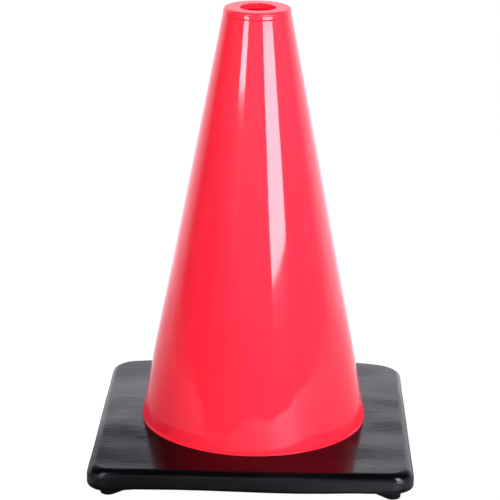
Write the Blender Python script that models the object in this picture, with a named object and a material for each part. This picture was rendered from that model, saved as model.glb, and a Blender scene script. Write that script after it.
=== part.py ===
"""Small PVC traffic cone, 305 mm (12 in) tall, on a 212 mm square black base.

Frame: metres, +Z up. The origin is on the floor, under the centre of the base.

The cone is one red PVC moulding: a tapered shell, closed at the top by a flat
cap with a lifting hole, and ending below in a flat root flange. The black PVC
base is moulded round that flange. It grips the flange above and below and
through a ring of keying holes, so the two can't come apart. Four radial feet
under the corners keep the plate off the floor.
"""

import math

import bmesh
import bpy

# ---------------------------------------------------------------- dimensions
OVERALL_HEIGHT = 0.3050
FIT_GAP = 0.0003  # clearance between touching pieces

# base plate
BASE_SIDE = 0.2120
BASE_THICKNESS = 0.0136
BASE_CORNER_RADIUS = 0.0165
BASE_TOP_EDGE_RADIUS = 0.0052
BASE_BOTTOM_EDGE_RADIUS = 0.0036
BASE_OPENING_CHAMFER = 0.0007

# feet: round-ended pads that point from each corner towards the middle
FOOT_GROUND_CLEARANCE = 0.0055
FOOT_WIDTH = 0.0115
FOOT_LENGTH = 0.0270
FOOT_INSET = 0.0070  # from the plate's side to the foot's outermost point
FOOT_DRAFT = 0.0005
FOOT_EDGE_RADIUS = 0.0008

# cone shell
CONE_TOP_RADIUS = 0.0221  # outer surface, carried up to the very top
CONE_BOTTOM_RADIUS = 0.0760  # outer surface, where it meets the base's top
WALL = 0.0026
CAP_THICKNESS = 0.0034
TOP_HOLE_RADIUS = 0.0121
TOP_HOLE_CHAMFER = 0.0004
SHOULDER_RADIUS = 0.0020
COLLAR_DEPTH = 0.0044  # the smooth collar below the top, ending in a mould line
COLLAR_STEP = 0.0003
INNER_CORNER = 0.0015
ROOT_LIP_HEIGHT = 0.0012  # above the base's top
ROOT_LIP_WIDTH = 0.0006
ROOT_LIP_SINK = 0.0007  # below the base's top, in the base's rebate

# root flange, inside the base
FLANGE_RADIUS = 0.0900
FLANGE_THICKNESS = 0.0030
FLANGE_HEIGHT = 0.0042  # underside of the flange above the underside of the plate
KEY_COUNT = 12
KEY_HOLE_RADIUS = 0.0030
KEY_CIRCLE_RADIUS = 0.0842

# facets
ROUND_STEPS = 72
CORNER_STEPS = 7
FILLET_STEPS = 4
KEY_STEPS = 12
FOOT_END_STEPS = 10

# derived heights
BASE_BOTTOM_Z = FOOT_GROUND_CLEARANCE
BASE_TOP_Z = BASE_BOTTOM_Z + BASE_THICKNESS
FLANGE_BOTTOM_Z = BASE_BOTTOM_Z + FLANGE_HEIGHT
FLANGE_TOP_Z = FLANGE_BOTTOM_Z + FLANGE_THICKNESS
SLOPE = (CONE_BOTTOM_RADIUS - CONE_TOP_RADIUS) / (OVERALL_HEIGHT - BASE_TOP_Z)


def outer_radius(z):
    """Radius of the cone's outer surface at height z, above or inside the base."""
    return CONE_BOTTOM_RADIUS + SLOPE * (BASE_TOP_Z - z)


def inner_radius(z):
    return outer_radius(z) - WALL


# ------------------------------------------------------------------- helpers
def clear_scene():
    for obj in list(bpy.data.objects):
        bpy.data.objects.remove(obj, do_unlink=True)


def make_material(name, colour, roughness, metallic=0.0):
    material = bpy.data.materials.new(name)
    material.use_nodes = True
    shader = material.node_tree.nodes["Principled BSDF"]
    shader.inputs["Base Color"].default_value = (*colour, 1.0)
    shader.inputs["Roughness"].default_value = roughness
    shader.inputs["Metallic"].default_value = metallic
    material.diffuse_color = (*colour, 1.0)
    return material


def link_object(name, mesh, parent=None):
    obj = bpy.data.objects.new(name, mesh)
    bpy.context.scene.collection.objects.link(obj)
    obj.parent = parent
    return obj


def hide_as_cutter(obj):
    obj.hide_render = True
    obj.display_type = "WIRE"


def profile_mesh(name, points, closed):
    """A profile in the XZ plane, for the Screw modifier."""
    mesh = bpy.data.meshes.new(name)
    edges = [(i, i + 1) for i in range(len(points) - 1)]
    if closed:
        edges.append((len(points) - 1, 0))
    mesh.from_pydata([(r, 0.0, z) for r, z in points], edges, [])
    return mesh


def add_screw(obj):
    screw = obj.modifiers.new("Revolve", "SCREW")
    screw.axis = "Z"
    screw.angle = math.tau
    screw.steps = screw.render_steps = ROUND_STEPS
    screw.use_merge_vertices = True
    screw.merge_threshold = 0.00001
    screw.use_smooth_shade = True
    return screw


def add_cut(obj, cutter, name):
    cut = obj.modifiers.new(name, "BOOLEAN")
    cut.operation = "DIFFERENCE"
    cut.solver = "EXACT"
    cut.object = cutter
    return cut


def arc(centre, radius, start, end, steps):
    """Points on a circle in the (radius, height) plane, angles in degrees."""
    found = []
    for i in range(steps + 1):
        angle = math.radians(start + (end - start) * i / steps)
        found.append(
            (centre[0] + radius * math.cos(angle), centre[1] + radius * math.sin(angle))
        )
    return found


def key_ring(name, radius, bottom, top):
    """One upright cylinder for each keying hole of the flange."""
    bm = bmesh.new()
    for k in range(KEY_COUNT):
        middle = math.tau * (k + 0.5) / KEY_COUNT
        x = KEY_CIRCLE_RADIUS * math.cos(middle)
        y = KEY_CIRCLE_RADIUS * math.sin(middle)
        ring = []
        for i in range(KEY_STEPS):
            angle = math.tau * i / KEY_STEPS
            ring.append(
                bm.verts.new(
                    (x + radius * math.cos(angle), y + radius * math.sin(angle), bottom)
                )
            )
        floor = bm.faces.new(ring)
        raised = bmesh.ops.extrude_face_region(bm, geom=[floor])["geom"]
        for vert in (v for v in raised if isinstance(v, bmesh.types.BMVert)):
            vert.co.z = top
    bmesh.ops.recalc_face_normals(bm, faces=bm.faces)
    mesh = bpy.data.meshes.new(name)
    bm.to_mesh(mesh)
    bm.free()
    return mesh


# --------------------------------------------------------------- the pieces
def build_cone_shell(parent, material):
    """Red shell: cap, tapered wall, root lip and root flange, turned in one."""
    top = OVERALL_HEIGHT
    collar_z = top - COLLAR_DEPTH
    lip_top = BASE_TOP_Z + ROOT_LIP_HEIGHT
    lip_bottom = BASE_TOP_Z - ROOT_LIP_SINK
    lip_radius = CONE_BOTTOM_RADIUS + ROOT_LIP_WIDTH
    cap_under = top - CAP_THICKNESS

    points = [(TOP_HOLE_RADIUS + TOP_HOLE_CHAMFER, top)]
    # rounded shoulder of the collar
    shoulder = (outer_radius(top) + COLLAR_STEP - SHOULDER_RADIUS, top - SHOULDER_RADIUS)
    points += arc(shoulder, SHOULDER_RADIUS, 90, 8, FILLET_STEPS + 1)
    # collar, then the mould line's small step back to the wall
    points += [
        (outer_radius(collar_z) + COLLAR_STEP, collar_z),
        (outer_radius(collar_z), collar_z - COLLAR_STEP),
    ]
    # wall down to the lip, which stands in the base's rebate
    points += [
        (outer_radius(lip_top), lip_top),
        (lip_radius - ROOT_LIP_WIDTH * 0.3, lip_top - ROOT_LIP_WIDTH * 0.4),
        (lip_radius, lip_top - ROOT_LIP_WIDTH),
        (lip_radius, lip_bottom),
        (outer_radius(lip_bottom), lip_bottom),
    ]
    # hidden root: the wall goes on into the base and turns out as a flange
    points += [
        (outer_radius(FLANGE_TOP_Z), FLANGE_TOP_Z),
        (FLANGE_RADIUS, FLANGE_TOP_Z),
        (FLANGE_RADIUS, FLANGE_BOTTOM_Z),
        (inner_radius(FLANGE_BOTTOM_Z), FLANGE_BOTTOM_Z),
    ]
    # inside of the wall, up to the underside of the cap
    points += [
        (inner_radius(cap_under - INNER_CORNER), cap_under - INNER_CORNER),
        (inner_radius(cap_under) - INNER_CORNER * 0.35, cap_under - INNER_CORNER * 0.35),
        (inner_radius(cap_under) - INNER_CORNER, cap_under),
        (TOP_HOLE_RADIUS, cap_under),
        (TOP_HOLE_RADIUS, top - TOP_HOLE_CHAMFER),
    ]
    shell = link_object("cone_shell", profile_mesh("cone_shell", points, True), parent)
    add_screw(shell)

    keys = link_object(
        "cutter_flange_holes",
        key_ring(
            "cutter_flange_holes",
            KEY_HOLE_RADIUS,
            FLANGE_BOTTOM_Z - 0.001,
            FLANGE_TOP_Z + 0.001,
        ),
        parent,
    )
    hide_as_cutter(keys)
    add_cut(shell, keys, "Flange keying holes")
    shell.data.materials.append(material)
    return shell


def rounded_square(half, radius, steps):
    """Corner points of a rounded square, anticlockwise."""
    found = []
    reach = half - radius
    for quarter, (sx, sy) in enumerate(((1, 1), (-1, 1), (-1, -1), (1, -1))):
        for i in range(steps + 1):
            angle = math.pi / 2 * (quarter + i / steps)
            found.append(
                (
                    sx * reach + radius * math.cos(angle),
                    sy * reach + radius * math.sin(angle),
                )
            )
    return found


def loop_edges(bm, z):
    return [e for e in bm.edges if all(abs(v.co.z - z) < 1e-6 for v in e.verts)]


def build_base(parent, material):
    """Black plate with rolled edges, moulded round the shell's root."""
    bm = bmesh.new()
    outline = rounded_square(BASE_SIDE / 2, BASE_CORNER_RADIUS, CORNER_STEPS)
    floor = bm.faces.new([bm.verts.new((x, y, BASE_BOTTOM_Z)) for x, y in outline])
    raised = bmesh.ops.extrude_face_region(bm, geom=[floor])["geom"]
    for vert in (v for v in raised if isinstance(v, bmesh.types.BMVert)):
        vert.co.z = BASE_TOP_Z
    bmesh.ops.recalc_face_normals(bm, faces=bm.faces)
    for height, radius in (
        (BASE_TOP_Z, BASE_TOP_EDGE_RADIUS),
        (BASE_BOTTOM_Z, BASE_BOTTOM_EDGE_RADIUS),
    ):
        bmesh.ops.bevel(
            bm,
            geom=loop_edges(bm, height),
            offset=radius,
            offset_type="OFFSET",
            segments=FILLET_STEPS,
            profile=0.5,
            affect="EDGES",
            clamp_overlap=True,
        )
    mesh = bpy.data.meshes.new("base")
    bm.to_mesh(mesh)
    bm.free()
    base = link_object("base", mesh, parent)

    # Everything of the shell's root with the fit gap round it, and the opening.
    groove_top = FLANGE_TOP_Z + FIT_GAP
    groove_bottom = FLANGE_BOTTOM_Z - FIT_GAP
    beyond = 0.002
    chamfer = BASE_OPENING_CHAMFER
    rebate_floor = BASE_TOP_Z - ROOT_LIP_SINK - FIT_GAP
    rebate_radius = CONE_BOTTOM_RADIUS + ROOT_LIP_WIDTH + FIT_GAP
    points = [
        (0.0, BASE_TOP_Z + beyond),
        (rebate_radius, BASE_TOP_Z + beyond),
        (rebate_radius, rebate_floor),
        (outer_radius(rebate_floor) + FIT_GAP, rebate_floor),
        (outer_radius(groove_top) + FIT_GAP, groove_top),
        (FLANGE_RADIUS + FIT_GAP, groove_top),
        (FLANGE_RADIUS + FIT_GAP, groove_bottom),
        (inner_radius(groove_bottom), groove_bottom),
        (inner_radius(BASE_BOTTOM_Z + chamfer), BASE_BOTTOM_Z + chamfer),
        (inner_radius(BASE_BOTTOM_Z) + chamfer, BASE_BOTTOM_Z),
        (inner_radius(BASE_BOTTOM_Z) + chamfer, BASE_BOTTOM_Z - beyond),
        (0.0, BASE_BOTTOM_Z - beyond),
    ]
    root = link_object("cutter_root", profile_mesh("cutter_root", points, False), parent)
    add_screw(root)
    # Columns of base material that fill the flange's holes.
    keys = link_object(
        "cutter_key_columns",
        key_ring(
            "cutter_key_columns",
            KEY_HOLE_RADIUS - FIT_GAP,
            groove_bottom - 0.0008,
            groove_top + 0.0008,
        ),
        parent,
    )
    hide_as_cutter(keys)
    add_cut(root, keys, "Key columns")
    hide_as_cutter(root)
    add_cut(base, root, "Cone root")
    base.data.materials.append(material)
    return base


def foot_mesh():
    """A round-ended pad along X, its outer end at +X, hanging down from z = 0."""
    height = FOOT_GROUND_CLEARANCE - FIT_GAP
    radius = FOOT_WIDTH / 2
    straight = FOOT_LENGTH / 2 - radius

    def ring(shrink, z):
        found = []
        for sign in (1, -1):
            for i in range(FOOT_END_STEPS + 1):
                angle = math.pi * (i / FOOT_END_STEPS - 0.5) + (0 if sign > 0 else math.pi)
                r = radius - shrink
                found.append(
                    (sign * straight + r * math.cos(angle), r * math.sin(angle), z)
                )
        return found

    levels = [ring(0.0, 0.0), ring(FOOT_DRAFT, FOOT_EDGE_RADIUS - height)]
    for i in range(1, 4):
        turn = math.pi / 2 * i / 3
        levels.append(
            ring(
                FOOT_DRAFT + FOOT_EDGE_RADIUS * (1 - math.cos(turn)),
                -height + FOOT_EDGE_RADIUS * (1 - math.sin(turn)),
            )
        )
    bm = bmesh.new()
    rows = [[bm.verts.new(point) for point in level] for level in levels]
    count = len(rows[0])
    for upper, lower in zip(rows, rows[1:]):
        for i in range(count):
            j = (i + 1) % count
            bm.faces.new((upper[i], lower[i], lower[j], upper[j]))
    bm.faces.new(rows[0])
    bm.faces.new(list(reversed(rows[-1])))
    bmesh.ops.recalc_face_normals(bm, faces=bm.faces)
    mesh = bpy.data.meshes.new("corner_foot")
    bm.to_mesh(mesh)
    bm.free()
    return mesh


def build_feet(parent, material):
    mesh = foot_mesh()
    mesh.materials.append(material)
    # The rounded outer end touches the inset line on both sides of its corner.
    end_centre = BASE_SIDE / 2 - FOOT_INSET - FOOT_WIDTH / 2
    middle = end_centre - (FOOT_LENGTH - FOOT_WIDTH) / 2 * math.sqrt(0.5)
    feet = []
    for name, sx, sy in (
        ("foot_front_left", -1, -1),
        ("foot_front_right", 1, -1),
        ("foot_back_right", 1, 1),
        ("foot_back_left", -1, 1),
    ):
        foot = link_object(name, mesh, parent)
        foot.location = (sx * middle, sy * middle, BASE_BOTTOM_Z - FIT_GAP)
        foot.rotation_euler = (0.0, 0.0, math.atan2(sy, sx))
        feet.append(foot)
    return feet


def shade(obj, degrees=32):
    """Smooth round surfaces, crisp real edges."""
    mesh = obj.data
    if mesh.polygons:
        mesh.shade_smooth()
        mesh.set_sharp_from_angle(angle=math.radians(degrees))


def main():
    clear_scene()
    red = make_material("cone_red_pvc", (0.93, 0.020, 0.045), 0.16)
    black = make_material("base_black_pvc", (0.012, 0.012, 0.013), 0.34)
    foot_black = make_material("foot_black_pvc", (0.010, 0.010, 0.011), 0.45)

    origin = bpy.data.objects.new("traffic_cone", None)
    origin.empty_display_size = 0.05
    bpy.context.scene.collection.objects.link(origin)

    shell = build_cone_shell(origin, red)
    base = build_base(origin, black)
    feet = build_feet(origin, foot_black)
    for obj in (shell, base, feet[0]):
        shade(obj)


main()
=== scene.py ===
"""The looks of a small red PVC traffic cone on a black PVC base.

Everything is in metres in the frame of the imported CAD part: +Z up, the floor at
z = 0, the cone's axis on the origin. Sizes of the visible pieces come from the
CAD nodes' own boxes and from the same design rules as the CAD part.
"""

import math

import bmesh
import bpy
import numpy as np
from mathutils import Matrix, Vector


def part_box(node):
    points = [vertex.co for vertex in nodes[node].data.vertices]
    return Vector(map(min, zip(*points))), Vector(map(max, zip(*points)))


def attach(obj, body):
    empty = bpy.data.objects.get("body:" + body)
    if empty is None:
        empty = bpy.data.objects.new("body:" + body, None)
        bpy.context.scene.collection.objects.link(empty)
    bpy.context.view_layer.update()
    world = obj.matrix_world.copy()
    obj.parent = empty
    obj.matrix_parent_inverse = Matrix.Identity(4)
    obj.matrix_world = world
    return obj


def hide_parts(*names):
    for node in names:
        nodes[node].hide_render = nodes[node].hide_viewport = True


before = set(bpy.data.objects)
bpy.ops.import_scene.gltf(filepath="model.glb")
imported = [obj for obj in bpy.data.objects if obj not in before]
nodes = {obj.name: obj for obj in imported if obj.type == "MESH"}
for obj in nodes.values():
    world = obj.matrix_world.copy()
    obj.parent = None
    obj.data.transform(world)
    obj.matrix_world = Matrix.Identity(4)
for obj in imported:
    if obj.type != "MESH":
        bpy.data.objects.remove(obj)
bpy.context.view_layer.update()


# ------------------------------------------------------------ sizes from CAD
shell_low, shell_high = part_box("cone_shell")
base_low, base_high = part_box("base")
foot_low, foot_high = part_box("foot_front_left")

TOP = shell_high.z
BASE_TOP = base_high.z
BASE_BOTTOM = base_low.z
HALF = base_high.x  # half the side of the base
FLANGE_BOTTOM = shell_low.z
FLANGE_RADIUS = shell_high.x

CORNER_RADIUS = 0.0165
FRONT_CORNER = 0.0128
TOP_EDGE = 0.0052
BOTTOM_EDGE = 0.0036
CONE_TOP_RADIUS = 0.0221
CONE_BOTTOM_RADIUS = 0.0760
WALL = 0.0026
CAP = 0.0034
HOLE = 0.0121
SHOULDER = 0.0020
COLLAR = 0.0044
STEP = 0.0003
FLANGE_THICKNESS = 0.0030
GAP = 0.0003
LIP_HEIGHT = 0.0012
LIP_WIDTH = 0.0006
SLOPE = (CONE_BOTTOM_RADIUS - CONE_TOP_RADIUS) / (TOP - BASE_TOP)


def outer_radius(z):
    return CONE_BOTTOM_RADIUS + SLOPE * (BASE_TOP - z)


def inner_radius(z):
    return outer_radius(z) - WALL


def belly(z):
    """How far the moulded wall stands outside a straight taper: widest low down."""
    heights = [0.0040, 0.0191, 0.0230, 0.0310, 0.0400, 0.0480, 0.0670, 0.1000, 0.1500, 0.2000, 0.2500, 0.3050]
    out = [-0.00105, -0.00035, -0.00018, 0.00020, 0.00060, 0.00095, 0.00150, 0.00130, 0.00088, 0.00052, 0.00012, -0.0002]
    fine = np.linspace(heights[0], heights[-1], 600)
    rough = np.interp(fine, heights, out)
    kernel = np.hanning(63)
    padded = np.concatenate([np.full(31, rough[0]), rough, np.full(31, rough[-1])])
    soft = np.convolve(padded, kernel / kernel.sum(), mode="valid")
    return np.interp(z, fine, soft)


# ------------------------------------------------------------------- camera
# Base yaw, camera place and aim, as one rigid view of the part.
CAMERA = {
    "f_px": 2200.0,
    "place": (0.0, -1.4160, 0.5955),
    "yaw": -0.0026,
    "pitch": -0.3125,
    "roll": 0.0114,
    "turn": 0.0185,
}


def make_camera():
    c = CAMERA
    yaw, pitch, roll = c["yaw"], c["pitch"], c["roll"]
    forward = Vector(
        (
            math.sin(yaw) * math.cos(pitch),
            math.cos(yaw) * math.cos(pitch),
            math.sin(pitch),
        )
    )
    right = Vector((math.cos(yaw), -math.sin(yaw), 0.0))
    up = right.cross(forward)
    r = right * math.cos(roll) + up * math.sin(roll)
    u = up * math.cos(roll) - right * math.sin(roll)
    matrix = Matrix.Identity(4)
    for row in range(3):
        matrix[row][0] = r[row]
        matrix[row][1] = u[row]
        matrix[row][2] = -forward[row]
        matrix[row][3] = c["place"][row]
    data = bpy.data.cameras.new("camera")
    data.sensor_width = 36.0
    data.lens = c["f_px"] * 36.0 / 500.0
    data.clip_start = 0.05
    data.clip_end = 50.0
    camera = bpy.data.objects.new("camera", data)
    bpy.context.scene.collection.objects.link(camera)
    camera.matrix_world = Matrix.Rotation(c["turn"], 4, "Z") @ matrix
    bpy.context.scene.camera = camera


make_camera()


# -------------------------------------------------------------- node helpers
class Nodes:
    """A short way to write shader node trees."""

    def __init__(self, tree):
        self.tree = tree
        self.tree.nodes.clear()

    def add(self, kind, values=None, **settings):
        node = self.tree.nodes.new(kind)
        for key, value in settings.items():
            setattr(node, key, value)
        for key, value in (values or {}).items():
            self.put(node.inputs[key], value)
        return node

    def put(self, socket, value):
        if isinstance(value, bpy.types.NodeSocket):
            self.tree.links.new(value, socket)
        else:
            socket.default_value = value

    def math(self, operation, a, b=None, c=None, clamp=False):
        node = self.add("ShaderNodeMath", operation=operation, use_clamp=clamp)
        for i, value in enumerate((a, b, c)):
            if value is not None:
                self.put(node.inputs[i], value)
        return node.outputs[0]

    def ramp(self, value, low, high, to_low=0.0, to_high=1.0, smooth=True):
        node = self.add(
            "ShaderNodeMapRange",
            {"Value": value, 1: low, 2: high, 3: to_low, 4: to_high},
            interpolation_type="SMOOTHSTEP" if smooth else "LINEAR",
        )
        return node.outputs[0]

    def noise(self, vector, scale, detail=2.0, roughness=0.5, distortion=0.0):
        node = self.add(
            "ShaderNodeTexNoise",
            {
                "Vector": vector,
                "Scale": scale,
                "Detail": detail,
                "Roughness": roughness,
                "Distortion": distortion,
            },
        )
        return node.outputs["Fac"]

    def mapped(self, vector, scale=(1, 1, 1), rotation=(0, 0, 0), location=(0, 0, 0)):
        node = self.add(
            "ShaderNodeMapping",
            {"Vector": vector, "Scale": scale, "Rotation": rotation, "Location": location},
        )
        return node.outputs[0]

    def mix_colour(self, factor, a, b):
        node = self.add("ShaderNodeMix", data_type="RGBA")
        self.put(node.inputs["Factor"], factor)
        self.put(node.inputs[6], a)
        self.put(node.inputs[7], b)
        return node.outputs[2]

    def bump(self, height, strength, distance, normal=None):
        node = self.add(
            "ShaderNodeBump",
            {"Height": height, "Strength": strength, "Distance": distance},
        )
        if normal is not None:
            self.put(node.inputs["Normal"], normal)
        return node.outputs[0]


def new_material(name):
    material = bpy.data.materials.new(name)
    material.use_nodes = True
    return material, Nodes(material.node_tree)


# ----------------------------------------------------------------- materials
def red_pvc():
    """Glossy injection-moulded PVC: clear red, faint streaks along the flow."""
    material, n = new_material("red_pvc_gloss")
    where = n.add("ShaderNodeTexCoord").outputs["Object"]
    streaks = n.noise(n.mapped(where, (60, 60, 3.0)), 3.0, 3.0, 0.55)
    clouds = n.noise(where, 14.0, 2.0, 0.5)
    thin = n.noise(n.mapped(where, (230, 230, 5.0)), 1.0, 2.0, 0.6)
    tone = n.math(
        "ADD",
        n.math("ADD", n.math("MULTIPLY", streaks, 0.35), n.math("MULTIPLY", clouds, 0.30)),
        n.math("MULTIPLY", thin, 0.35),
    )
    colour = n.mix_colour(
        n.ramp(tone, 0.36, 0.64), (0.885, 0.0160, 0.0360, 1.0), (0.920, 0.0196, 0.0435, 1.0)
    )
    rough = n.ramp(n.noise(n.mapped(where, (1, 1, 0.35)), 90.0, 4.0, 0.6), 0.2, 0.8, 0.030, 0.060)
    # The trimmed edge of the hole is torn and dull. Inside the hole the wall has a painted red glow, an emission
    # that stands in for light soaking through the thin wall.
    split = n.add("ShaderNodeSeparateXYZ", {"Vector": where})
    rough = n.math("ADD", rough, n.ramp(split.outputs[2], TOP - 0.0019, TOP - 0.0016, 0.0, 0.26))
    across = n.math(
        "SQRT",
        n.math(
            "ADD",
            n.math("MULTIPLY", split.outputs[0], split.outputs[0]),
            n.math("MULTIPLY", split.outputs[1], split.outputs[1]),
        ),
    )
    skin = n.math("MULTIPLY_ADD", split.outputs[2], -SLOPE, CONE_BOTTOM_RADIUS + SLOPE * BASE_TOP)
    depth = n.math("SUBTRACT", skin, across)
    inside = n.math(
        "MULTIPLY",
        n.ramp(depth, 0.0008, 0.0020),
        n.ramp(split.outputs[2], TOP - 0.0009, TOP - 0.0002, 1.0, 0.0),
    )
    peel = n.noise(where, 420.0, 2.0, 0.5)
    lines = n.noise(n.mapped(where, (500, 500, 4.0)), 2.0, 2.0, 0.5)
    height = n.math("ADD", n.math("MULTIPLY", peel, 0.5), n.math("MULTIPLY", lines, 0.5))
    normal = n.bump(height, 0.05, 0.00006)
    shader = n.add(
        "ShaderNodeBsdfPrincipled",
        {
            "Base Color": colour,
            "Roughness": rough,
            "Normal": normal,
            "IOR": 1.5,
            "Specular IOR Level": 0.5,
        },
    )
    # Painted glow: the wall inside the hole emits a faint red light, for light that comes through the thin wall
    # and bounces round inside.
    inner = n.add(
        "ShaderNodeBsdfPrincipled",
        {
            "Base Color": n.mix_colour(
                n.ramp(clouds, 0.3, 0.7), (0.74, 0.0085, 0.0240, 1.0), (0.82, 0.0120, 0.0310, 1.0)
            ),
            "Roughness": n.ramp(streaks, 0.25, 0.75, 0.38, 0.55),
            "Normal": normal,
            "IOR": 1.15,
            "Specular IOR Level": 0.5,
            "Emission Color": (1.0, 0.010, 0.034, 1.0),
            "Emission Strength": n.ramp(clouds, 0.3, 0.7, 0.16, 0.26),
        },
    )
    # Painted dark reflection: just above the lip, at the sides and the back, the gloss gives way to a matt red in
    # a band shaped like the black base mirrored there.
    turn = n.math(
        "ABSOLUTE",
        n.math(
            "MULTIPLY",
            n.math("ARCTAN2", split.outputs[0], n.math("MULTIPLY", split.outputs[1], -1.0)),
            57.2958,
        ),
    )
    rise = n.math("ADD", n.ramp(turn, 26.0, 36.0, 0.0, 0.0090), n.ramp(turn, 57.0, 74.0, 0.0, 0.0085))
    fall = n.math("ADD", n.ramp(turn, 44.0, 51.0, 0.0, 0.0055), n.ramp(turn, 96.0, 130.0, 0.0, 0.0050))
    reach = n.math("ADD", n.math("SUBTRACT", rise, fall), n.math("MULTIPLY_ADD", clouds, 0.003, -0.0015))
    above = n.math("SUBTRACT", n.math("SUBTRACT", split.outputs[2], BASE_TOP), reach)
    # Painted reflection: this mask marks where the wall would mirror the black base, and there the gloss is cut so
    # the red stays dark.
    dulled_gloss = n.math(
        "MULTIPLY",
        n.math("MULTIPLY", n.ramp(above, -0.0005, 0.0005, 1.0, 0.0), n.ramp(reach, 0.0022, 0.0032)),
        n.math(
            "MAXIMUM",
            n.ramp(split.outputs[2], BASE_TOP + 0.0016, BASE_TOP + 0.0020),
            n.ramp(turn, 70.0, 78.0),
        ),
    )
    matt = n.add(
        "ShaderNodeBsdfPrincipled",
        {"Base Color": colour, "Roughness": 0.6, "Normal": normal, "IOR": 1.12},
    )
    skin_shader = n.add(
        "ShaderNodeMixShader",
        {0: n.math("MULTIPLY", dulled_gloss, 0.88), 1: shader.outputs[0], 2: matt.outputs[0]},
    )
    both = n.add("ShaderNodeMixShader", {0: inside, 1: skin_shader.outputs[0], 2: inner.outputs[0]})
    n.add("ShaderNodeOutputMaterial", {"Surface": both.outputs[0]})
    return material


def black_pvc(name, dulled_gloss=False):
    """Moulded black PVC: soft gloss, fine streaks across, wrinkles of flow."""
    material, n = new_material(name)
    where = n.add("ShaderNodeTexCoord").outputs["Object"]
    split = n.add("ShaderNodeSeparateXYZ", {"Vector": where})
    x, y, z = split.outputs
    streaks = n.noise(n.mapped(where, (9, 260, 60)), 1.0, 5.0, 0.62, 0.3)
    blotches = n.noise(where, 26.0, 3.0, 0.55)
    deep = n.mix_colour(
        n.ramp(blotches, 0.3, 0.75), (0.0008, 0.0006, 0.0009, 1.0), (0.0020, 0.0018, 0.0024, 1.0)
    )
    # Painted light: the rolled edges and sides get a slightly lighter black than the top, for the brightness they
    # show under the studio light.
    side_black = n.mix_colour(
        n.ramp(blotches, 0.3, 0.75), (0.0012, 0.0008, 0.0012, 1.0), (0.0030, 0.0025, 0.0032, 1.0)
    )
    side = n.ramp(z, BASE_TOP - 0.0030, BASE_TOP - 0.0006, 1.0, 0.0)
    colour = n.mix_colour(side, deep, side_black)
    rough = n.math(
        "ADD",
        n.ramp(streaks, 0.25, 0.75, 0.09, 0.18),
        n.ramp(blotches, 0.3, 0.8, -0.02, 0.05),
    )
    rough = n.math("MULTIPLY_ADD", side, 0.09, rough)
    if dulled_gloss:
        rough = n.math("ADD", rough, 0.18)
    fold = n.noise(n.mapped(where, (70, 150, 70), (0, 0, 0.5)), 1.0, 2.0, 0.5, 1.4)
    fine = n.noise(where, 900.0, 2.0, 0.5)
    height = n.math(
        "ADD",
        n.math("ADD", n.math("MULTIPLY", streaks, 0.38), n.math("MULTIPLY", fine, 0.14)),
        n.math("MULTIPLY", fold, 0.8),
    )
    normal = n.bump(height, 0.22, 0.00035)

    # Creases where the plastic folded as it met in the mould, near the corners.
    bent = n.noise(n.mapped(where, (95, 260, 60), (0, 0, 0.45)), 1.0, 3.0, 0.6, 2.2)
    crease = n.math("POWER", n.math("SUBTRACT", 1.0, n.math("ABSOLUTE", n.math("MULTIPLY_ADD", bent, 4.0, -2.0)), clamp=True), 2.0)
    patch = None
    for px, py, reach in (
        (-0.076, -0.072, 0.017), (0.090, -0.068, 0.015), (0.080, 0.087, 0.014), (-0.060, 0.090, 0.010),
    ):
        dx, dy = n.math("SUBTRACT", x, px), n.math("SUBTRACT", y, py)
        away = n.math("SQRT", n.math("ADD", n.math("MULTIPLY", dx, dx), n.math("MULTIPLY", dy, dy)))
        here = n.ramp(away, reach * 0.25, reach, 1.0, 0.0)
        patch = here if patch is None else n.math("MAXIMUM", patch, here)
    normal = n.bump(n.math("MULTIPLY", n.math("SUBTRACT", crease, 0.35), patch), 0.10, 0.00022, normal)
    shader = n.add(
        "ShaderNodeBsdfPrincipled",
        {
            "Base Color": colour,
            "Roughness": rough,
            "Normal": normal,
            "IOR": 1.25,
            "Specular IOR Level": 0.5,
        },
    )
    # The rolled corners have a glossier skin than the top.
    spread = n.add("ShaderNodeSeparateXYZ", {"Vector": where})
    at_corner = n.math("MULTIPLY", side, n.ramp(n.math("ABSOLUTE", spread.outputs[0]), 0.090, 0.096, 0.38, 1.0))
    edge = n.add(
        "ShaderNodeBsdfPrincipled",
        {
            "Base Color": colour,
            "Roughness": rough,
            "Normal": normal,
            "IOR": 1.46,
            "Specular IOR Level": 0.5,
        },
    )
    body = n.add("ShaderNodeMixShader", {0: at_corner, 1: shader.outputs[0], 2: edge.outputs[0]})
    # Darker areas: in two patches on the top, front left and back left, the gloss gives way to a plain diffuse
    # black.
    dull = n.add("ShaderNodeBsdfDiffuse", {"Color": colour, "Normal": normal})
    gloss_dimmed = None
    for px, py, reach, most in ((-0.082, -0.070, 0.062, 0.50), (-0.092, 0.088, 0.035, 0.25)):
        dx, dy = n.math("SUBTRACT", x, px), n.math("SUBTRACT", y, py)
        away = n.math("SQRT", n.math("ADD", n.math("MULTIPLY", dx, dx), n.math("MULTIPLY", dy, dy)))
        here = n.ramp(away, reach * 0.3, reach, most, 0.0)
        gloss_dimmed = here if gloss_dimmed is None else n.math("MAXIMUM", gloss_dimmed, here)
    gloss_dimmed = n.math("MULTIPLY", gloss_dimmed, n.ramp(z, BASE_TOP - 0.0040, BASE_TOP - 0.0015))
    both = n.add("ShaderNodeMixShader", {0: gloss_dimmed, 1: body.outputs[0], 2: dull.outputs[0]})
    n.add("ShaderNodeOutputMaterial", {"Surface": both.outputs[0]})
    return material


RED = red_pvc()
BLACK = black_pvc("black_pvc_base")
BLACK_FOOT = black_pvc("black_pvc_foot", dulled_gloss=True)


# --------------------------------------------------------------- mesh helpers
def wave(x, y, seed):
    """A smooth, repeatable unevenness between about -1 and 1, of period 1."""
    rng = np.random.RandomState(seed)
    total = np.zeros_like(x)
    for _ in range(7):
        fx, fy = rng.uniform(-1, 1, 2)
        length = math.hypot(fx, fy) + 1e-6
        pitch = rng.uniform(0.6, 1.5) * math.tau
        total += np.sin((fx * x + fy * y) / length * pitch + rng.uniform(0, math.tau))
    return total / 7 ** 0.5 / 1.2


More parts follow.
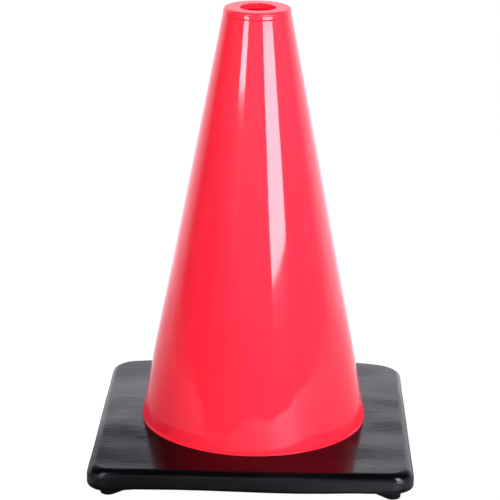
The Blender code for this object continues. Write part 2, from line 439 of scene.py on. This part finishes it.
def object_from_grid(name, grid, material, caps=(False, False), wrap_rows=False):
    """A closed surface from rows of points, each row a ring."""
    rows, count, _ = grid.shape
    verts = [tuple(p) for p in grid.reshape(-1, 3)]
    faces = []
    last = rows if wrap_rows else rows - 1
    for i in range(last):
        a0, b0 = i * count, ((i + 1) % rows) * count
        for j in range(count):
            k = (j + 1) % count
            faces.append((a0 + j, b0 + j, b0 + k, a0 + k))
    if caps[0]:
        faces.append(tuple(range(count)))
    if caps[1]:
        faces.append(tuple(reversed(range((rows - 1) * count, rows * count))))
    mesh = bpy.data.meshes.new(name)
    mesh.from_pydata(verts, [], faces)
    bm = bmesh.new()
    bm.from_mesh(mesh)
    bmesh.ops.recalc_face_normals(bm, faces=bm.faces)
    bm.to_mesh(mesh)
    bm.free()
    mesh.update()
    mesh.materials.append(material)
    mesh.shade_smooth()
    mesh.set_sharp_from_angle(angle=math.radians(38))
    obj = bpy.data.objects.new(name, mesh)
    bpy.context.scene.collection.objects.link(obj)
    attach(obj, "root")
    return obj


def arc(centre, radius, start, end, steps):
    return [
        (
            centre[0] + radius * math.cos(math.radians(start + (end - start) * i / steps)),
            centre[1] + radius * math.sin(math.radians(start + (end - start) * i / steps)),
        )
        for i in range(steps + 1)
    ]


def between(a, b, steps):
    """Points from a towards b, without b."""
    return [
        (a[0] + (b[0] - a[0]) * i / steps, a[1] + (b[1] - a[1]) * i / steps)
        for i in range(steps)
    ]


# ----------------------------------------------------------------- the cone
def build_cone():
    around = 320
    top = TOP
    collar_z = top - COLLAR
    lip_top = BASE_TOP + LIP_HEIGHT
    lip_bottom = BASE_TOP - 0.0004
    cap_under = top - CAP
    flange_top = FLANGE_BOTTOM + FLANGE_THICKNESS

    def wall(z):
        return (outer_radius(z), z)

    profile = []
    tilt = math.degrees(math.atan(SLOPE))
    shoulder_z = top - SHOULDER * (1 - math.sin(math.radians(tilt)))
    centre = outer_radius(shoulder_z) + 0.0001 - SHOULDER * math.cos(math.radians(tilt))
    profile += between((HOLE + 0.0004, top), (centre, top), 8)
    profile += arc((centre, top - SHOULDER), SHOULDER, 90, tilt, 12)
    profile += between(profile[-1], (outer_radius(collar_z) + 0.0001, collar_z), 5)[1:]
    # the mould line under the collar: a fine groove
    for drop, sink in (
        (-0.00016, -0.0001), (-0.00008, -0.00008), (0.00002, 0.00012), (0.00014, 0.00022),
        (0.00026, 0.00016), (0.00036, 0.00002), (0.00044, 0.0), (0.0006, 0.0),
    ):
        profile.append((outer_radius(collar_z - drop) - sink, collar_z - drop))
    profile += between(wall(collar_z - 0.0014), wall(lip_top + 0.0024), 150)
    profile += between(wall(lip_top + 0.0024), wall(lip_top + 0.0004), 8)
    # raised lip at the foot of the wall
    profile += [
        wall(lip_top + 0.0004),
        wall(lip_top + 0.0002),
        wall(lip_top + 0.0001),
        (outer_radius(lip_top) + LIP_WIDTH * 0.60, lip_top - 0.00002),
        (outer_radius(lip_top) + LIP_WIDTH * 0.88, lip_top - 0.0001),
        (outer_radius(lip_top) + LIP_WIDTH * 0.97, lip_top - 0.00022),
        (outer_radius(lip_top) + LIP_WIDTH, lip_top - 0.0004),
        (outer_radius(lip_top) + LIP_WIDTH, lip_top - 0.0009),
        (outer_radius(lip_bottom) + LIP_WIDTH, lip_bottom),
        (outer_radius(lip_bottom), lip_bottom - 0.0001),
    ]
    profile += between((outer_radius(flange_top + 0.0006), flange_top + 0.0006), (outer_radius(flange_top) + 0.0006, flange_top), 2)
    profile += between((outer_radius(flange_top) + 0.0006, flange_top), (FLANGE_RADIUS, flange_top), 6)
    profile += [(FLANGE_RADIUS, flange_top), (FLANGE_RADIUS, FLANGE_BOTTOM)]
    profile += between((FLANGE_RADIUS, FLANGE_BOTTOM), (inner_radius(FLANGE_BOTTOM), FLANGE_BOTTOM), 8)[1:]
    inner_start = (inner_radius(FLANGE_BOTTOM), FLANGE_BOTTOM)
    inner_end = (inner_radius(cap_under - 0.0015), cap_under - 0.0015)
    profile += between(inner_start, inner_end, 60)
    profile += [
        inner_end,
        (inner_radius(cap_under) - 0.0005, cap_under - 0.0005),
        (inner_radius(cap_under) - 0.0015, cap_under),
    ]
    profile += between((inner_radius(cap_under) - 0.0015, cap_under), (HOLE, cap_under), 4)[1:]
    profile += between((HOLE, cap_under), (HOLE, top - 0.0004), 6)
    profile += [(HOLE, top - 0.0004)]

    r = np.array([p[0] for p in profile])[:, None]
    z = np.array([p[1] for p in profile])[:, None]
    t = (np.arange(around) / around * math.tau)[None, :]
    radius = r + 0 * t
    height = z + 0 * t

    # The wall isn't a perfect cone: shallow waves a few centimetres across.
    on_wall = np.clip((collar_z - 0.002 - z) / 0.02, 0, 1) * np.clip((z - lip_top) / 0.012, 0, 1)
    swell = wave(np.cos(t) * radius / 0.065, np.sin(t) * radius / 0.065 + height / 0.075, 11)
    radius = radius + on_wall * 0.000015 * swell
    above_base = z > BASE_TOP - 0.001
    radius = radius + np.clip((z - lip_top) / 0.0001, 0, 1) * belly(z)
    # The foot is squeezed out a little at the sides and the back.
    turned = np.degrees(np.abs((t + 1.5 * math.pi) % math.tau - math.pi))
    turned = np.clip((turned - 50) / 30, 0, 1)
    squeeze = smooth_table(z * 1000, [15, 19, 26, 34, 42, 52, 60], [0.95, 0.95, 0.85, 0.72, 0.38, 0.0, 0.0], 3)
    radius = radius + (z > lip_top) * (turned ** 2 * (3 - 2 * turned)) * squeeze / 1000
    height = height + above_base * np.clip(1 - (z - BASE_TOP) / 0.02, 0, 1) * 0.0005

    # Trim flash: the hole's edge is ragged where the sprue was cut off.
    near_hole = np.exp(-((r - HOLE) / 0.0011) ** 2) * (z > cap_under - 0.0002)
    rng = np.random.RandomState(4)
    ragged = np.zeros_like(t)
    for k in range(5, 34):
        ragged = ragged + np.sin(k * t + rng.uniform(0, math.tau)) * rng.uniform(0.3, 1.0)
    ragged = ragged / 4.2
    bias = 0.55 + 0.45 * np.sin(t)
    depth = np.clip((top - z) / CAP, 0, 1)
    radius = radius + near_hole * ragged * bias * (0.00032 + 0.00022 * np.sin(depth * 7 + 3 * t))
    height = height + near_hole * ragged * bias * 0.00022 * (z > top - 0.001)

    lean = -0.0007 * np.clip((z - BASE_TOP) / (TOP - BASE_TOP), 0, 1)
    # The hole was cut a little off the middle.
    trimmed = np.clip(1 - (r - HOLE) / 0.0045, 0, 1) * (z > cap_under - 0.0002)
    grid = np.stack(
        [
            radius * np.cos(t) + lean + 0.0004 * trimmed,
            radius * np.sin(t) - 0.0008 * trimmed,
            height,
        ],
        axis=2,
    )
    cone = object_from_grid("red_cone_shell", grid, RED, wrap_rows=True)
    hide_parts("cone_shell")
    return cone


# ------------------------------------------------------------------ the base
def outline_point(angle, half, radius):
    """Point of a rounded square, on a ray from the middle."""
    c, s = math.cos(angle), math.sin(angle)
    reach = half - radius
    # distance along the ray to the rounded square
    candidates = []
    if abs(c) > 1e-9:
        d = half / abs(c)
        if abs(d * s) <= reach:
            candidates.append(d)
    if abs(s) > 1e-9:
        d = half / abs(s)
        if abs(d * c) <= reach:
            candidates.append(d)
    if candidates:
        d = min(candidates)
    else:
        cx, cy = math.copysign(reach, c), math.copysign(reach, s)
        b = c * cx + s * cy
        d = b + math.sqrt(max(b * b - (cx * cx + cy * cy - radius * radius), 0.0))
    x, y = d * c, d * s
    return x, y


def smooth_table(at, places, values, soft):
    """Straight runs between the given places, rounded off over the given width."""
    fine = np.linspace(places[0] - soft, places[-1] + soft, 1201)
    rough = np.interp(fine, places, values)
    width = max(3, int(soft / (fine[1] - fine[0])) | 1)
    kernel = np.hanning(width + 2)
    half = len(kernel) // 2
    padded = np.concatenate([np.full(half, rough[0]), rough, np.full(half, rough[-1])])
    return np.interp(at, fine, np.convolve(padded, kernel / kernel.sum(), mode="valid"))


def settle(x, y, upper):
    """How a thick moulding has moved as it cooled: the middle stands up, the corners hang.

    Heights to add, in metres, for the top (upper = 1) and the underside (upper = 0).
    """
    mm = 1000.0
    front_top = smooth_table(x * mm, [-106, -90, -48, -10, 48, 78, 106], [0.2, 0.7, 1.1, 0.75, 0.75, 0.9, 1.0], 24)
    front_low = smooth_table(
        x * mm, [-106, -92, -76, -48, -29, -9, 11, 31, 50, 66, 84, 106], [-1.7, -0.9, 0.9, 1.2, 1.05, 0.65, 0.25, 0.1, 0.5, 1.1, 1.2, 0.6], 13
    )
    back_top = smooth_table(x * mm, [-106, -90, -80, -66, 66, 78, 90, 106], [-1.5, -1.7, -1.2, 0.1, 0.4, -0.1, -1.3, -1.9], 14)
    front = smooth_table(y * mm, [-106, -88, -30, 106], [1.0, 0.9, 0.0, 0.0], 20)
    back = smooth_table(y * mm, [-106, 30, 86, 106], [0.0, 0.0, 0.8, 1.0], 20)
    middle = np.clip(1 - front - back, 0, 1)
    front_part = front * (upper * front_top + (1 - upper) * front_low)
    return (front_part + back * back_top * (0.25 + 0.75 * upper) + middle * 0.5) / mm


def widen(y):
    """Extra half width by depth: the sides splay a little towards the front."""
    return (
        smooth_table(
            y * 1000,
            [-106, -92, -60, -30, 0, 30, 60, 90, 106],
            [1.15, 1.0, 0.55, 0.2, -0.05, -0.35, -0.7, -0.6, -0.7],
            20,
        )
        / 1000
    )


def build_base():
    fine = 4000

    def outline(angle):
        return outline_point(angle, HALF, FRONT_CORNER if math.sin(angle) < 0 else CORNER_RADIUS)

    path = [outline(math.tau * i / fine) for i in range(fine + 1)]
    length = [0.0]
    for a, b in zip(path, path[1:]):
        length.append(length[-1] + math.hypot(b[0] - a[0], b[1] - a[1]))
    around = 560
    angles = np.interp(
        np.arange(around) / around * length[-1], length, np.arange(fine + 1) / fine * math.tau
    )
    edge = np.array([outline(a) for a in angles])
    direction = np.roll(edge, -1, axis=0) - np.roll(edge, 1, axis=0)
    direction /= np.linalg.norm(direction, axis=1)[:, None]
    out = np.stack([direction[:, 1], -direction[:, 0]], axis=1)
    ring = np.stack([np.cos(angles), np.sin(angles)], axis=1)

    # The edge is rolled more fully round each corner than along the sides.
    corner = np.abs(2 * out[:, 0] * out[:, 1])[:, None]
    kernel = np.hanning(23)[:, None]
    wrapped = np.concatenate([corner[-11:], corner, corner[:11]])
    corner = np.convolve(wrapped[:, 0], kernel[:, 0] / kernel.sum(), mode="valid")[:, None]
    roll_top = 0.0050 + 0.0022 * corner
    roll_low = 0.0026 + 0.0032 * corner

    bore_top = CONE_BOTTOM_RADIUS + LIP_WIDTH + 0.0001
    rows = []

    def row(xy, z, upper):
        z = np.broadcast_to(z, (around, 1)) if np.isscalar(z) else z
        rows.append(np.column_stack([xy, z, np.broadcast_to(upper, (around, 1))]))

    def level(z):
        return (z - BASE_BOTTOM) / (BASE_TOP - BASE_BOTTOM)

    # top: from the cone's foot out to where the rolled edge begins
    inner = ring * bore_top
    outer = edge - out * roll_top
    steps = 48
    for i in range(steps + 1):
        s = (i / steps) ** 0.92
        row(inner * (1 - s) + outer * s, BASE_TOP, 1.0)
    for i in range(1, 13):
        a = math.pi / 2 * i / 12
        z = BASE_TOP - roll_top * (1 - math.cos(a))
        row(edge - out * roll_top * (1 - math.sin(a)), z, level(z))
    side_top, side_low = BASE_TOP - roll_top, BASE_BOTTOM + roll_low
    for i in range(1, 5):
        z = side_top + (side_low - side_top) * i / 5
        row(edge, z, level(z))
    for i in range(0, 10):
        a = math.pi / 2 * i / 9
        z = side_low - roll_low * math.sin(a)
        row(edge - out * roll_low * (1 - math.cos(a)), z, level(z))
    under = edge - out * roll_low
    opening = ring * (inner_radius(BASE_BOTTOM) + 0.0007)
    for i in range(1, 16):
        s = i / 16
        row(under * (1 - s) + opening * s, BASE_BOTTOM, 0.0)
    row(opening, BASE_BOTTOM, 0.0)
    row(ring * inner_radius(BASE_BOTTOM + 0.0007), BASE_BOTTOM + 0.0007, 0.0)
    groove_low = FLANGE_BOTTOM - GAP
    groove_top = FLANGE_BOTTOM + FLANGE_THICKNESS + GAP
    row(ring * inner_radius(groove_low), groove_low, 0.3)
    row(ring * (FLANGE_RADIUS + GAP), groove_low, 0.3)
    row(ring * (FLANGE_RADIUS + GAP), groove_top, 0.5)
    row(ring * (outer_radius(groove_top) + GAP), groove_top, 0.5)
    row(ring * (outer_radius(BASE_TOP - 0.0010) + GAP), BASE_TOP - 0.0010, 1.0)
    row(ring * bore_top, BASE_TOP - 0.0010, 1.0)
    grid = np.array(rows)

    x, y, z, upper = (grid[..., k].copy() for k in range(4))
    far = np.clip((np.hypot(x, y) - 0.079) / 0.012, 0, 1)
    sag = wave(x / 0.075, y / 0.060, 5) * 0.00016
    at_side = smooth_table(np.abs(x) * 1000, [0, 84, 106], [0.0, 0.0, 1.0], 10)
    tuck = (x < 0) * smooth_table(y * 1000, [-106, -94, -62, 106], [0.0, 0.1, 0.55, 0.6], 16) / 1000
    grid[..., 0] = x + np.sign(x) * at_side * (widen(y) - tuck)
    outside = np.hypot(x, y) > 0.0745
    outside[-6:-2] = False  # the groove stays level with the flange it holds
    grid[..., 2] = z + outside * (settle(x, y, upper) + far * upper * sag)
    grid = grid[..., :3]
    base = object_from_grid("black_base", grid, BLACK, wrap_rows=True)
    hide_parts("base")
    return base


# ------------------------------------------------------------------ the feet
def build_foot(node, sx, sy):
    low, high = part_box(node)
    middle = (low + high) / 2
    if node == "foot_front_left":
        middle += Vector((0.0005, -0.0011, 0.0))
    height = BASE_BOTTOM + float(settle(np.array(middle.x), np.array(middle.y), 0.0))
    radius, half_length = 0.00575, 0.0135
    straight = half_length - radius
    turn = math.atan2(sy, sx)
    ends = 22

    def ring(grow, z):
        points = []
        for sign in (1, -1):
            for i in range(ends + 1):
                a = math.pi * (i / ends - 0.5) + (0 if sign > 0 else math.pi)
                r = radius + grow
                px = sign * straight + r * math.cos(a)
                py = r * math.sin(a)
                points.append(
                    (
                        middle.x + px * math.cos(turn) - py * math.sin(turn),
                        middle.y + px * math.sin(turn) + py * math.cos(turn),
                        z,
                    )
                )
        return points

    rows = [ring(0.0010, height + 0.0003)]
    for i in range(0, 6):
        a = math.pi / 2 * i / 5
        rows.append(ring(0.0010 * (1 - math.sin(a)), height - 0.0010 * (1 - math.cos(a))))
    rows.append(ring(-0.00025, 0.0022))
    for i in range(0, 7):
        a = math.pi / 2 * i / 6
        rows.append(
            ring(-0.0004 - 0.0011 * (1 - math.cos(a)), 0.0011 * (1 - math.sin(a)))
        )
    grid = np.array(rows)
    foot = object_from_grid(node + "_pad", grid, BLACK_FOOT, caps=(True, True))
    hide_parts(node)
    return foot


cone = build_cone()
base = build_base()
for name, sx, sy in (
    ("foot_front_left", -1, -1),
    ("foot_front_right", 1, -1),
    ("foot_back_right", 1, 1),
    ("foot_back_left", -1, 1),
):
    build_foot(name, sx, sy)


# --------------------------------------------------------- floor, lights, sky
def bearing_of(n, x, y):
    """Degrees round the vertical: 0 towards the camera's side, positive to its right."""
    turned = n.math("ARCTAN2", x, n.math("MULTIPLY", y, -1.0))
    return n.math("MULTIPLY", turned, 180 / math.pi)


def by_bearing(n, bearing, table, scale):
    """A value for each bearing, from (degrees, value) pairs with straight runs between."""
    place = n.math("MULTIPLY_ADD", bearing, 1 / 360, 0.5)
    node = n.add("ShaderNodeValToRGB", {"Fac": place})
    ramp = node.color_ramp
    ramp.interpolation = "LINEAR"
    while len(ramp.elements) > 1:
        ramp.elements.remove(ramp.elements[-1])
    for k, (degrees, value) in enumerate(table):
        at = degrees / 360 + 0.5
        element = ramp.elements[0] if k == 0 else ramp.elements.new(at)
        element.position = at
        tone = value / scale
        element.color = (tone, tone, tone, 1.0)
    return n.math("MULTIPLY", node.outputs[0], scale)


# What a reflection sees by bearing: the far studio, the table top and its reach.
STUDIO_TINT = (1.05, 1.0, 1.12, 1.0)
STUDIO = [
    (-180, 1.05), (-165, 1.35), (-150, 1.55), (-138, 1.42), (-126, 1.28), (-118, 1.00), (-110, 0.48),
    (-103, 0.13), (-90, 0.09), (-68, 0.07), (-55, 0.07), (-42, 0.13), (-28, 0.18), (-9, 0.22),
    (4, 0.16), (21, 0.22), (33, 0.28), (46, 0.30), (54, 0.22), (70, 0.34), (85, 0.36),
    (100, 0.45), (109, 0.85), (118, 1.25), (128, 1.50), (160, 1.50), (172, 1.10), (180, 1.05),
]
TABLE_LIGHT = [
    (-180, 1.20), (-160, 1.50), (-142, 1.08), (-128, 0.80), (-113, 0.64), (-98, 0.39),
    (-82, 0.38), (-68, 0.47), (-57, 0.57), (-50, 0.56), (-44, 0.36), (-26, 0.34), (-18, 0.56),
    (-9, 0.62), (0, 0.70), (9, 0.92), (15, 1.12), (21, 1.55), (27, 1.95), (33, 2.05),
    (39, 1.80), (45, 1.25), (51, 0.98), (60, 0.82), (70, 0.66), (85, 0.62), (100, 0.67),
    (113, 0.73), (128, 0.95), (142, 1.12), (158, 1.45), (180, 1.20),
]
TABLE_REACH = [
    (-180, 0.45), (-150, 0.48), (-135, 0.60), (-113, 0.68), (-98, 0.66), (-80, 0.64),
    (-66, 0.62), (-57, 0.56), (-51, 0.51), (-47, 0.42), (-44, 0.312), (-25, 0.322), (-19, 0.375),
    (-12, 0.45), (-6, 0.54), (3, 0.575), (12, 0.53), (20, 0.505), (26, 0.54), (33, 0.59),
    (39, 0.65), (45, 0.77), (52, 0.84), (68, 0.88), (83, 0.80), (97, 0.72), (113, 0.76),
    (127, 0.56), (142, 0.50), (157, 0.40), (180, 0.45),
]


def build_stage():
    mesh = bpy.data.meshes.new("floor")
    size = 6.0
    mesh.from_pydata(
        [(-size, -size, 0), (size, -size, 0), (size, size, 0), (-size, size, 0)], [], [(0, 1, 2, 3)]
    )
    floor = bpy.data.objects.new("floor", mesh)
    floor.location.z = -0.0002
    bpy.context.scene.collection.objects.link(floor)
    material, n = new_material("studio_floor")
    place = n.add("ShaderNodeTexCoord").outputs["Object"]
    split = n.add("ShaderNodeSeparateXYZ", {"Vector": place})
    x, y = split.outputs[0], split.outputs[1]
    away = n.math("SQRT", n.math("ADD", n.math("MULTIPLY", x, x), n.math("MULTIPLY", y, y)))
    bearing = bearing_of(n, x, y)
    reach = by_bearing(n, bearing, TABLE_REACH, 1.5)
    ripple = n.noise(place, 13.0, 3.0, 0.6)
    reach = n.math("MULTIPLY", reach, n.ramp(ripple, 0.25, 0.75, 0.90, 1.10, smooth=False))
    inside = n.ramp(n.math("SUBTRACT", reach, away), -0.004, 0.004)
    # To the left and right a half-lit apron follows before the dark of the room.
    wing = n.ramp(n.math("ABSOLUTE", bearing), 54.0, 70.0, 0.95, 1.60)
    wing = n.math("SUBTRACT", n.math("MULTIPLY", reach, wing), away)
    apron = n.math("MULTIPLY", n.ramp(wing, -0.008, 0.008), 0.5)
    near = by_bearing(n, bearing, TABLE_LIGHT, 2.5)
    near = n.math("MULTIPLY", near, n.ramp(away, 0.15, 0.62, 0.72, 1.12, smooth=False))
    # It dims in the shade close round the base.
    beyond = n.math("MAXIMUM", n.math("ABSOLUTE", x), n.math("ABSOLUTE", y))
    shade = n.ramp(beyond, HALF, HALF + 0.030, 0.15, 1.0)
    far = by_bearing(n, bearing, STUDIO, 2.5)
    glow = n.add("ShaderNodeMix", data_type="FLOAT")
    n.put(glow.inputs[0], inside)
    n.put(glow.inputs[2], n.math("ADD", far, n.math("MULTIPLY", apron, n.math("SUBTRACT", near, far))))
    n.put(glow.inputs[3], n.math("MULTIPLY", near, shade))
    seen_in_gloss = n.add(
        "ShaderNodeEmission", {"Color": STUDIO_TINT, "Strength": glow.outputs[0]}
    )
    # For the camera: a white sweep that keeps only a hint of the contact shadow.
    paper = n.add("ShaderNodeBsdfDiffuse", {"Color": (0.80, 0.80, 0.80, 1.0)})
    bright = n.add("ShaderNodeEmission", {"Strength": 1.10})
    lit = n.add("ShaderNodeMixShader", {0: 0.88, 1: paper.outputs[0], 2: bright.outputs[0]})
    path = n.add("ShaderNodeLightPath")
    shader = n.add(
        "ShaderNodeMixShader",
        {0: path.outputs["Is Camera Ray"], 1: seen_in_gloss.outputs[0], 2: lit.outputs[0]},
    )
    n.add("ShaderNodeOutputMaterial", {"Surface": shader.outputs[0]})
    mesh.materials.append(material)

    world = bpy.data.worlds.new("studio")
    world.use_nodes = True
    bpy.context.scene.world = world
    n = Nodes(world.node_tree)
    ray = n.add("ShaderNodeTexCoord").outputs["Generated"]
    split = n.add("ShaderNodeSeparateXYZ", {"Vector": ray})
    x, y, z = split.outputs
    bearing = bearing_of(n, x, y)
    rise = n.math("MULTIPLY", n.math("ARCSINE", z), 180 / math.pi)
    far = by_bearing(n, bearing, STUDIO, 2.5)
    # The room on the camera's side is dim at the horizon and lighter above it.
    front = n.ramp(n.math("ABSOLUTE", bearing), 60.0, 105.0, 1.0, 0.0)
    lift = n.math("MULTIPLY", n.ramp(rise, -1.0, 8.0), n.math("MULTIPLY", front, 0.42))
    # Above, the backdrop grows brighter and then stops; the front room fades sooner.
    behind = n.ramp(n.math("ABSOLUTE", bearing), 110.0, 145.0)
    swell = n.math("MULTIPLY_ADD", behind, n.ramp(rise, 15.0, 21.0, 0.0, 0.95), 1.0)
    tail = n.ramp(rise, 21.4, 24.0, 1.0, 0.30)
    ceiling_back = n.math("MULTIPLY", n.ramp(rise, 30.0, 48.0, 1.0, 0.15), tail)
    ceiling_front = n.ramp(rise, 20.0, 34.0, 1.0, 0.10)
    ceiling = n.add("ShaderNodeMix", data_type="FLOAT")
    n.put(ceiling.inputs[0], behind)
    n.put(ceiling.inputs[2], ceiling_front)
    n.put(ceiling.inputs[3], ceiling_back)
    mottle = n.noise(n.mapped(ray, (1.0, 1.0, 0.6)), 7.0, 3.0, 0.55)
    mottle = n.math("MULTIPLY_ADD", front, n.ramp(mottle, 0.25, 0.75, -0.30, 0.30), 1.0)
    sky = n.math("MULTIPLY", n.math("ADD", far, lift), n.math("MULTIPLY", swell, ceiling.outputs[0]))
    sky = n.math("MULTIPLY", sky, mottle)

    def panel(low, high, bottom, top, slant, slant_right, fade, strength, climb=0.0):
        left = n.ramp(n.math("MULTIPLY_ADD", rise, slant, bearing), low - 0.6, low + 0.6)
        right = n.ramp(
            n.math("MULTIPLY_ADD", rise, slant_right, bearing), high - 0.8, high + 0.8, 1.0, 0.0
        )
        sill = n.math("MULTIPLY_ADD", n.math("SUBTRACT", bearing, low), -climb, rise)
        below = n.ramp(sill, bottom - fade, bottom + fade)
        above = n.ramp(rise, top - 2.0, top + 2.0, 1.0, 0.0)
        mask = n.math("MULTIPLY", n.math("MULTIPLY", left, right), n.math("MULTIPLY", below, above))
        return n.math("MULTIPLY", mask, strength)

    path = n.add("ShaderNodeLightPath")
    right_box = panel(26.6, 47.2, 2.95, 21.0, 0.73, -0.5, 0.12, 12.9)
    left_box = panel(-41.7, -26.2, 6.70, 21.0, 0.0, 0.0, 0.12, 11.9, 0.057)
    left_tail = panel(-41.0, -27.0, 6.20, 9.0, 0.0, 0.0, 0.20, 1.5, 0.057)

    def spot(at, up, wide, tall, strength):
        dx = n.math("MULTIPLY", n.math("SUBTRACT", bearing, at), 1 / wide)
        dy = n.math("MULTIPLY", n.math("SUBTRACT", rise, up), 1 / tall)
        far_off = n.math("SQRT", n.math("ADD", n.math("MULTIPLY", dx, dx), n.math("MULTIPLY", dy, dy)))
        return n.math("MULTIPLY", n.ramp(far_off, 0.15, 1.0, 1.0, 0.0), strength)

    # Small pale things in the room, seen as faint smudges in the gloss.
    smudges = left_tail
    for values in (
        (-39.0, 3.8, 5.5, 0.55, 0.50), (-31.0, 4.4, 4.5, 0.75, 0.28),
        (28.0, 2.0, 4.0, 0.35, 0.42), (38.0, 1.6, 4.5, 0.4, 0.25), (-13.0, 3.4, 9.0, 1.2, 0.08),
    ):
        smudges = n.math("ADD", smudges, spot(*values))
    # Mirror images stop lower than the light itself does: baffles hide the upper part.
    lid = n.math("MULTIPLY_ADD", n.math("ABSOLUTE", bearing), 0.057, rise)
    baffle = n.math("MULTIPLY", path.outputs["Is Glossy Ray"], n.ramp(lid, 11.0, 11.4))
    right_box = n.math("MULTIPLY", right_box, n.math("SUBTRACT", 1.0, baffle))
    left_box = n.math("MULTIPLY", left_box, n.math("SUBTRACT", 1.0, baffle))
    # Higher up the boxes show only as small glints on tight curves.
    right_glint = panel(24.0, 50.0, 26.0, 58.0, 0.0, 0.0, 3.0, 16.0)
    left_glint = panel(-47.0, -23.0, 26.0, 58.0, 0.0, 0.0, 3.0, 6.5)
    glints = n.math(
        "MULTIPLY", n.math("ADD", right_glint, left_glint), path.outputs["Is Glossy Ray"]
    )
    boxes = n.math("ADD", n.math("ADD", right_box, left_box), n.math("ADD", glints, smudges))
    # They aren't seen again in a second reflection: the soft plastic scatters them.
    once = n.math("LESS_THAN", path.outputs["Ray Depth"], 2.5)
    sky = n.math("ADD", sky, n.math("MULTIPLY", boxes, once))
    seen = n.add("ShaderNodeMix", data_type="FLOAT")
    n.put(seen.inputs[0], path.outputs["Is Camera Ray"])
    n.put(seen.inputs[2], sky)
    n.put(seen.inputs[3], 1.0)
    tint = n.mix_colour(path.outputs["Is Camera Ray"], STUDIO_TINT, (1.0, 1.0, 1.0, 1.0))
    background = n.add("ShaderNodeBackground", {"Color": tint, "Strength": seen.outputs[0]})
    n.add("ShaderNodeOutputWorld", {"Surface": background.outputs[0]})

    # A soft key from above: it lights the plastic without a mirror image of itself.
    data = bpy.data.lights.new("key", "AREA")
    data.shape = "DISK"
    data.size = 0.35
    data.energy = 3.4
    key = bpy.data.objects.new("key", data)
    key.location = (0.20, -0.40, 0.66)
    aim = Vector((0.0, 0.0, 0.20)) - key.location
    key.rotation_euler = aim.to_track_quat("-Z", "Y").to_euler()
    key.visible_glossy = False
    key.visible_camera = False
    bpy.context.scene.collection.objects.link(key)

    data = bpy.data.lights.new("fill", "AREA")
    data.shape = "DISK"
    data.size = 0.35
    data.energy = 2.4
    fill = bpy.data.objects.new("fill", data)
    fill.location = (-0.78, 0.16, 0.42)
    aim = Vector((0.0, 0.0, 0.14)) - fill.location
    fill.rotation_euler = aim.to_track_quat("-Z", "Y").to_euler()
    fill.visible_glossy = False
    fill.visible_camera = False
    bpy.context.scene.collection.objects.link(fill)

    scene = bpy.context.scene
    scene.view_settings.view_transform = "Standard"
    scene.view_settings.look = "None"


build_stage()
